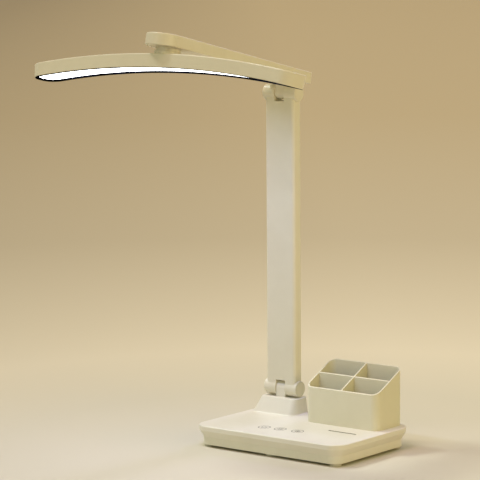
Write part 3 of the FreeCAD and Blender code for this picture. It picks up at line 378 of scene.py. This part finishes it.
power_place = Vector((-23.6 * MM, -31.5 * MM, BASE_TOP))
brightness_place = Vector((-5.1 * MM, -29.5 * MM, BASE_TOP))
warmth_place = Vector((15.1 * MM, -28.0 * MM, BASE_TOP))
mesh = bmesh.new()
for centre in (power_place, brightness_place, warmth_place):
    add_band(mesh, centre, RING_RADIUS, RING_LINE)
add_band(mesh, power_place, POWER_RADIUS, SIGN_LINE, POWER_START, POWER_END)
add_dash(mesh, power_place + Vector((0, POWER_DASH_LOW, 0)), power_place + Vector((0, POWER_DASH_HIGH, 0)),
         SIGN_LINE)
add_band(mesh, brightness_place, SUN_RADIUS, SIGN_LINE, steps=32)
for ray in range(SUN_RAYS):
    turn = math.radians(360 / SUN_RAYS * ray)
    way = Vector((math.cos(turn), math.sin(turn), 0.0))
    add_dash(mesh, brightness_place + way * RAY_START, brightness_place + way * RAY_END, SIGN_LINE)
add_band(mesh, warmth_place, WARMTH_RADIUS, SIGN_LINE, steps=36)
add_disc(mesh, warmth_place, WARMTH_DOT)
marks = new_piece("touch_marks", mesh, ink, smooth=False)
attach(marks, "base")


# ---------------------------------------------------------------- bottom plate and feet
# The bottom plate is a plain moulding in the same plastic, screwed up from below. Six round pads of
# soft off-white rubber are glued under it and lift the housing just clear of the table.

PAD_RELIEF = 0.05 * MM
dress("base_plate", cream)
pad_rubber, shader, start = new_material("pad_rubber")
spot = start.node("ShaderNodeTexCoord", {}, {}, "Object")
bloom = start.node("ShaderNodeTexNoise", {}, {"Vector": spot, "Scale": 400.0, "Detail": 4.0})
tone = start.node("ShaderNodeValToRGB",
                  {"stops": [(0.3, (0.56, 0.52, 0.42)), (0.7, (0.66, 0.62, 0.51))]}, {"Fac": bloom})
relief = start.node("ShaderNodeBump", {}, {"Strength": 0.4, "Distance": PAD_RELIEF, "Height": bloom})
feed(shader, Base_Color=tone, Roughness=0.75 + bloom * 0.1, Normal=relief)
dress("foot_pads", pad_rubber)


# ---------------------------------------------------------------- pen holder
# A loose box with four compartments, moulded in one piece with slightly greener off-white plastic.
# Its rim slopes down to the front, and two pegs under the floor drop into sockets in the base.

HOLDER_PALE = (0.765, 0.72, 0.53)
HOLDER_DEEP = (0.715, 0.67, 0.48)
holder_plastic = moulded_plastic("holder_abs", HOLDER_PALE, HOLDER_DEEP, roughness=0.5)
dress("pen_holder", holder_plastic)


# ---------------------------------------------------------------- stem and arm
# Two-part housings in the same off-white plastic: a front shell and a screwed rear cover on the stem,
# a top shell and a let-in cover on the arm. Round caps close the ends of both hinges.

for node in ("stem_front_shell", "stem_rear_cover", "lower_hinge_caps", "upper_hinge_caps",
             "arm_shell", "arm_cover", "arm_collar"):
    dress(node, cream)


# ---------------------------------------------------------------- light bar
# The arched housing is a tray in the same plastic. A black frame holds the frosted diffuser, which
# glows evenly from the row of white lights on the board behind it. The frame's lip covers the
# housing's lower rim, and the diffuser's face sits lower than the solid's.

dress("head_housing", cream)
black_plastic = moulded_plastic("black_abs", (0.0016, 0.0016, 0.0018), (0.001, 0.001, 0.0011),
                                roughness=0.6, sheen=0.0)

BAR_TILT = math.radians(12.4)
BAR_RADIUS = 946.0 * MM
BAR_CROWN = 11.0 * MM
BAR_HALF, BAR_HALF_WIDTH, BAR_CORNER = 161.0 * MM, 17.5 * MM, 14.0 * MM
bar_up = Vector((0.0, math.sin(BAR_TILT), math.cos(BAR_TILT)))
bar_across = Vector((0.0, math.cos(BAR_TILT), -math.sin(BAR_TILT)))
bar_middle = Vector((-56.4, -136.435, 395.025)) * MM


def bar_ray(along):
    """The direction from the arch's centre out to a place along the bar."""
    turn = math.asin((along - BAR_CROWN) / BAR_RADIUS)
    return Vector((math.sin(turn), 0.0, 0.0)) + math.cos(turn) * bar_up


def on_bar(along, across, depth):
    """A place in the bar: how far along and across it, and how deep below its top face."""
    ray = bar_ray(along)
    crown = bar_middle + Vector((BAR_CROWN, 0.0, 0.0)) - BAR_RADIUS * bar_up
    return crown + (BAR_RADIUS - depth) * ray + across * bar_across


def bar_outline(inset, long_steps=48, corner_steps=8):
    """The bar's rounded outline, drawn in from its edge, as places along and across."""
    half, half_width, corner = BAR_HALF - inset, BAR_HALF_WIDTH - inset, BAR_CORNER - inset
    outline = []
    for side, end in ((1, 1), (1, -1), (-1, -1), (-1, 1)):
        for step in range(corner_steps + 1):
            turn = math.pi / 2 * step / corner_steps
            first, second = math.cos(turn), math.sin(turn)
            if side != end:
                first, second = second, first
            outline.append((end * (half - corner + corner * first),
                            side * (half_width - corner + corner * second)))
        if side == end:
            reach = 2 * (half - corner)
            for step in range(1, long_steps):
                outline.append((end * (half - corner) - end * reach * step / long_steps, side * half_width))
    return outline


def join_loops(mesh, loops):
    """Faces between neighbouring loops of the same number of vertices."""
    for first, second in zip(loops, loops[1:]):
        for corner in range(len(first)):
            following = (corner + 1) % len(first)
            mesh.faces.new((first[corner], first[following], second[following], second[corner]))


RIM_INSET, RIM_DROP, FRAME_GAP = 0.4 * MM, 0.35 * MM, 0.02 * MM
BAR_DEPTH = 13.2 * MM
FRAME_INSET, FRAME_TOP = 2.1 * MM, 7.7 * MM
WINDOW_INSET = 3.6 * MM
SAME_PLACE = 0.001 * MM
DIFFUSER_INSET = 3.7 * MM
DIFFUSER_TOP, DIFFUSER_FACE, DIFFUSER_ROUND = 9.0 * MM, 12.0 * MM, 0.4 * MM

mesh = bmesh.new()
profile = [(WINDOW_INSET, FRAME_TOP), (WINDOW_INSET, BAR_DEPTH + RIM_DROP), (RIM_INSET, BAR_DEPTH + RIM_DROP),
           (RIM_INSET, BAR_DEPTH + FRAME_GAP), (FRAME_INSET, BAR_DEPTH + FRAME_GAP), (FRAME_INSET, FRAME_TOP)]
loops = [[mesh.verts.new(on_bar(along, across, depth)) for along, across in bar_outline(inset)]
         for inset, depth in profile]
join_loops(mesh, loops + loops[:1])
lipped_frame = new_piece("lipped_frame", mesh, black_plastic, smooth=False)
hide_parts("bezel_frame")
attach(lipped_frame, "head")

GLOW = 6.0
diffuser_sheet, shader, start = new_material("lit_diffuser")
spot = start.node("ShaderNodeTexCoord", {}, {}, "Object")
frost = start.node("ShaderNodeTexNoise", {}, {"Vector": spot, "Scale": 1500.0, "Detail": 2.0})
glow = start.node("ShaderNodeValToRGB",
                  {"stops": [(0.3, (0.90, 0.94, 0.98)), (0.7, (0.94, 0.97, 1.0))]}, {"Fac": frost})
feed(shader, Base_Color=glow, Emission_Color=glow, Roughness=0.5 + frost * 0.1)
shader.inputs["Emission Strength"].default_value = GLOW

mesh = bmesh.new()
profile = [(DIFFUSER_INSET, DIFFUSER_TOP), (DIFFUSER_INSET, DIFFUSER_FACE - DIFFUSER_ROUND),
           (DIFFUSER_INSET + DIFFUSER_ROUND, DIFFUSER_FACE)]
loops = [[mesh.verts.new(on_bar(along, across, depth)) for along, across in bar_outline(inset)]
         for inset, depth in profile]
join_loops(mesh, loops)
count = len(loops[0])
for loop, depth in ((loops[0], DIFFUSER_TOP), (loops[-1], DIFFUSER_FACE)):
    spine = {}
    for vertex, (along, across) in zip(loop, bar_outline(DIFFUSER_INSET)):
        spine[vertex] = mesh.verts.new(on_bar(along, 0.0, depth))
    for corner in range(count):
        following = (corner + 1) % count
        first, second = loop[corner], loop[following]
        mesh.faces.new((first, spine[first], spine[second], second))
bmesh.ops.remove_doubles(mesh, verts=mesh.verts, dist=SAME_PLACE)
bmesh.ops.dissolve_degenerate(mesh, edges=mesh.edges, dist=SAME_PLACE / 2)
bmesh.ops.recalc_face_normals(mesh, faces=mesh.faces)
thick_diffuser = new_piece("thick_diffuser", mesh, diffuser_sheet, smooth=False)
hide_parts("diffuser")
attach(thick_diffuser, "head")

# A row of lamps just below the diffuser casts its light, so its own glow stays weak and its edges clean.
STRIP_LIGHTS = 5
STRIP_POWER = 0.1675
STRIP_TINT = (0.34, 0.43, 1.0)
STRIP_LENGTH, STRIP_WIDTH, STRIP_GAP = 60.0 * MM, 26.0 * MM, 0.2 * MM
for number in range(STRIP_LIGHTS):
    along = (number - (STRIP_LIGHTS - 1) / 2) * STRIP_LENGTH
    outward = bar_ray(along)
    lengthwise = bar_across.cross(outward)
    spot = on_bar(along, 0.0, DIFFUSER_FACE + STRIP_GAP)
    strip = bpy.data.objects.new(f"bar_light_{number}", bpy.data.lights.new(f"bar_light_{number}", "AREA"))
    strip.data.shape = "RECTANGLE"
    strip.data.size, strip.data.size_y = STRIP_LENGTH, STRIP_WIDTH
    strip.data.energy = STRIP_POWER
    strip.data.color = STRIP_TINT
    strip.visible_camera = False
    strip.matrix_world = Matrix((
        (lengthwise.x, bar_across.x, outward.x, spot.x),
        (lengthwise.y, bar_across.y, outward.y, spot.y),
        (lengthwise.z, bar_across.z, outward.z, spot.z),
        (0.0, 0.0, 0.0, 1.0),
    ))
    bpy.context.scene.collection.objects.link(strip)
    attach(strip, "head")

solder_mask, shader, start = new_material("circuit_board")
spot = start.node("ShaderNodeTexCoord", {}, {}, "Object")
weave = start.node("ShaderNodeTexNoise", {}, {"Vector": spot, "Scale": 700.0, "Detail": 2.0})
tone = start.node("ShaderNodeValToRGB",
                  {"stops": [(0.35, (0.70, 0.71, 0.70)), (0.7, (0.80, 0.81, 0.80))]}, {"Fac": weave})
feed(shader, Base_Color=tone, Roughness=0.35 + weave * 0.1)
dress("led_board", solder_mask)

phosphor, shader, start = new_material("light_chip")
spot = start.node("ShaderNodeTexCoord", {}, {}, "Object")
grain = start.node("ShaderNodeTexNoise", {}, {"Vector": spot, "Scale": 2500.0, "Detail": 1.0})
tone = start.node("ShaderNodeValToRGB",
                  {"stops": [(0.3, (0.86, 0.70, 0.22)), (0.7, (0.93, 0.80, 0.33))]}, {"Fac": grain})
feed(shader, Base_Color=tone, Roughness=0.3 + grain * 0.1)
dress("led_chips", phosphor)


# ---------------------------------------------------------------- steel and inner pieces
# Zinc-plated steel shafts, nuts, washers, stem stiffener and ballast plate, two green boards and a foil
# battery pack. The screws and the charging socket's shell, further down, have the same zinc.

TOOL_MARKS = 0.02 * MM


def brushed_metal(name, pale, deep, roughness):
    """Bare or plated metal: a slow drift of tone under very fine tool marks."""
    material, shader, start = new_material(name)
    spot = start.node("ShaderNodeTexCoord", {}, {}, "Object")
    turned = start.node("ShaderNodeTexNoise", {}, {"Vector": spot, "Scale": 1200.0, "Detail": 3.0})
    cloud = start.node("ShaderNodeTexNoise", {}, {"Vector": spot, "Scale": 120.0, "Detail": 2.0})
    tone = start.node("ShaderNodeValToRGB", {"stops": [(0.35, deep), (0.65, pale)]}, {"Fac": cloud})
    relief = start.node("ShaderNodeBump", {}, {"Strength": 0.3, "Distance": TOOL_MARKS, "Height": turned})
    feed(shader, Base_Color=tone, Roughness=roughness + turned * 0.12, Normal=relief)
    shader.inputs["Metallic"].default_value = 1.0
    return material


zinc = brushed_metal("zinc_steel", (0.66, 0.66, 0.64), (0.52, 0.52, 0.52), 0.28)
for node in ("lower_hinge_shaft", "lower_hinge_nut", "lower_hinge_washers", "upper_hinge_shaft",
             "upper_hinge_nut", "upper_hinge_washers", "swivel_washer", "swivel_bolt", "swivel_nut",
             "stem_stiffener", "ballast_plate"):
    dress(node, zinc)

green_board, shader, start = new_material("green_board")
spot = start.node("ShaderNodeTexCoord", {}, {}, "Object")
weave = start.node("ShaderNodeTexNoise", {}, {"Vector": spot, "Scale": 600.0, "Detail": 2.0})
tone = start.node("ShaderNodeValToRGB",
                  {"stops": [(0.35, (0.02, 0.12, 0.04)), (0.7, (0.03, 0.18, 0.06))]}, {"Fac": weave})
feed(shader, Base_Color=tone, Roughness=0.35 + weave * 0.1)
for node in ("control_board", "touch_board"):
    dress(node, green_board)

foil = brushed_metal("battery_foil", (0.55, 0.56, 0.58), (0.45, 0.46, 0.48), 0.4)
dress("battery_pack", foil)


# ---------------------------------------------------------------- screws
# Small pan head screws with a cross recess, formed from steel wire and zinc plated. They hold the
# bottom plate, the stem's rear cover and the arm's cover, each sunk in its own hole.

HEAD_RADIUS, HEAD_HEIGHT, HEAD_ROUND, HEAD_BEVEL = 2.6 * MM, 1.3 * MM, 0.45 * MM, 0.135 * MM
SHANK_RADIUS, POINT_RADIUS, POINT_LENGTH = 1.4 * MM, 0.3 * MM, 1.2 * MM
RECESS_DEPTH, RECESS_REACH, RECESS_HALF = 0.9 * MM, 1.45 * MM, 0.3 * MM


def add_turned(mesh, place, axis, rings, steps=64):
    """A closed form about an axis, from rings: each a radius, or a function of the angle, and a height."""
    side = axis.orthogonal().normalized()
    other = axis.cross(side)
    loops = []
    for radius, height in rings:
        loop = []
        for turn in (2 * math.pi * step / steps for step in range(steps)):
            reach = radius(turn) if callable(radius) else radius
            loop.append(mesh.verts.new(place + axis * height
                                       + reach * (math.cos(turn) * side + math.sin(turn) * other)))
        loops.append(loop)
    join_loops(mesh, loops)
    mesh.faces.new(reversed(loops[0]))
    mesh.faces.new(loops[-1])


def cross_recess(turn):
    """How far a cross with four equal arms reaches at an angle."""
    off_arm = abs((turn + math.pi / 4) % (math.pi / 2) - math.pi / 4)
    return min(RECESS_REACH / math.cos(off_arm), RECESS_HALF / max(math.sin(off_arm), 0.01))


def solids(node):
    """The separate solids of a frame node, each as a list of its points."""
    mesh = bmesh.new()
    mesh.from_mesh(nodes[node].data)
    bmesh.ops.remove_doubles(mesh, verts=mesh.verts, dist=SAME_PLACE)
    found, seen = [], set()
    for start in mesh.verts:
        if start in seen:
            continue
        seen.add(start)
        waiting, points = [start], []
        while waiting:
            vertex = waiting.pop()
            points.append(vertex.co.copy())
            for edge in vertex.link_edges:
                other = edge.other_vert(vertex)
                if other not in seen:
                    seen.add(other)
                    waiting.append(other)
        found.append(points)
    mesh.free()
    return found


for node, outward, body in (("plate_screws", Vector((0.0, 0.0, -1.0)), "base"),
                            ("stem_screws", Vector((0.0, 1.0, 0.0)), "stem"),
                            ("arm_screws", -bar_up, "arm")):
    mesh = bmesh.new()
    for points in solids(node):
        head = max(point.dot(outward) for point in points)
        tip = min(point.dot(outward) for point in points)
        rim = [point for point in points if point.dot(outward) > head - HEAD_HEIGHT / 2]
        middle = sum(rim, Vector()) / len(rim)
        place = middle + outward * (head - middle.dot(outward))
        depth = head - tip
        add_turned(mesh, place, outward,
                   [(cross_recess, -RECESS_DEPTH), (cross_recess, 0.0), (HEAD_RADIUS - HEAD_ROUND, 0.0),
                    (HEAD_RADIUS - HEAD_BEVEL, -HEAD_BEVEL), (HEAD_RADIUS, -HEAD_ROUND),
                    (HEAD_RADIUS, -HEAD_HEIGHT), (SHANK_RADIUS, -HEAD_HEIGHT),
                    (SHANK_RADIUS, POINT_LENGTH - depth), (POINT_RADIUS, -depth)])
    bmesh.ops.recalc_face_normals(mesh, faces=mesh.faces)
    screws = new_piece(f"cross_{node}", mesh, zinc, smooth=False)
    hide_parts(node)
    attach(screws, body)


# ---------------------------------------------------------------- charging socket
# The seam-welded steel shell of the inlet, open to the rear, with a black contact tongue in it that
# carries a row of gold-plated contacts on each face.

socket_low, socket_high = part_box("charging_socket")
socket_middle = (Vector(socket_low) + Vector(socket_high)) / 2
SOCKET_WALL, SOCKET_CORNER = 0.4 * MM, 1.4 * MM
TONGUE_HALF, TONGUE_HALF_HEIGHT = 3.3 * MM, 0.35 * MM
TONGUE_SETBACK, CONTACT_SETBACK = 1.0 * MM, 0.3 * MM
CONTACTS, CONTACT_PITCH, CONTACT_HALF, CONTACT_LIFT = 8, 0.75 * MM, 0.2 * MM, 0.03 * MM


def oval(inset, y, corner_steps=6):
    """The socket's rounded outline drawn in by an inset, at a place from front to rear."""
    corner = SOCKET_CORNER - inset
    half = (socket_high[0] - socket_low[0]) / 2 - SOCKET_CORNER
    half_height = (socket_high[2] - socket_low[2]) / 2 - SOCKET_CORNER
    outline = []
    for quarter, (x_side, z_side) in enumerate(((1, 1), (-1, 1), (-1, -1), (1, -1))):
        for step in range(corner_steps + 1):
            turn = math.pi / 2 * (quarter + step / corner_steps)
            outline.append(Vector((socket_middle.x + x_side * half + corner * math.cos(turn), y,
                                   socket_middle.z + z_side * half_height + corner * math.sin(turn))))
    return outline


def add_block(mesh, low, high):
    """A block between two corners."""
    corners = [mesh.verts.new((x, y, z)) for z in (low[2], high[2])
               for x, y in ((low[0], low[1]), (high[0], low[1]), (high[0], high[1]), (low[0], high[1]))]
    join_loops(mesh, [corners[:4], corners[4:]])
    mesh.faces.new(reversed(corners[:4]))
    mesh.faces.new(corners[4:])


mesh = bmesh.new()
front, rear = socket_low[1], socket_high[1]
loops = [[mesh.verts.new(point) for point in oval(inset, y)]
         for inset, y in ((0.0, front), (0.0, rear), (SOCKET_WALL, rear), (SOCKET_WALL, front + SOCKET_WALL))]
join_loops(mesh, loops)
mesh.faces.new(loops[0])
mesh.faces.new(reversed(loops[-1]))
bmesh.ops.recalc_face_normals(mesh, faces=mesh.faces)
socket_shell = new_piece("socket_shell", mesh, zinc, smooth=False)
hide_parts("charging_socket")
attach(socket_shell, "base")

mesh = bmesh.new()
tongue_end = rear - TONGUE_SETBACK
add_block(mesh,
          (socket_middle.x - TONGUE_HALF, front + SOCKET_WALL / 2, socket_middle.z - TONGUE_HALF_HEIGHT),
          (socket_middle.x + TONGUE_HALF, tongue_end, socket_middle.z + TONGUE_HALF_HEIGHT))
tongue_plastic = moulded_plastic("contact_plastic", (0.03, 0.03, 0.032), (0.02, 0.02, 0.022), roughness=0.5)
tongue = new_piece("socket_tongue", mesh, tongue_plastic, smooth=False)
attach(tongue, "base")

mesh = bmesh.new()
for number in range(CONTACTS):
    x = socket_middle.x + (number - (CONTACTS - 1) / 2) * CONTACT_PITCH
    for face in (-1, 1):
        z = socket_middle.z + face * TONGUE_HALF_HEIGHT
        add_block(mesh, (x - CONTACT_HALF, front + SOCKET_WALL, z - CONTACT_LIFT),
                  (x + CONTACT_HALF, tongue_end - CONTACT_SETBACK, z + CONTACT_LIFT))
gold = brushed_metal("contact_gold", (0.83, 0.62, 0.24), (0.72, 0.52, 0.18), 0.25)
contacts = new_piece("socket_contacts", mesh, gold, smooth=False)
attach(contacts, "base")
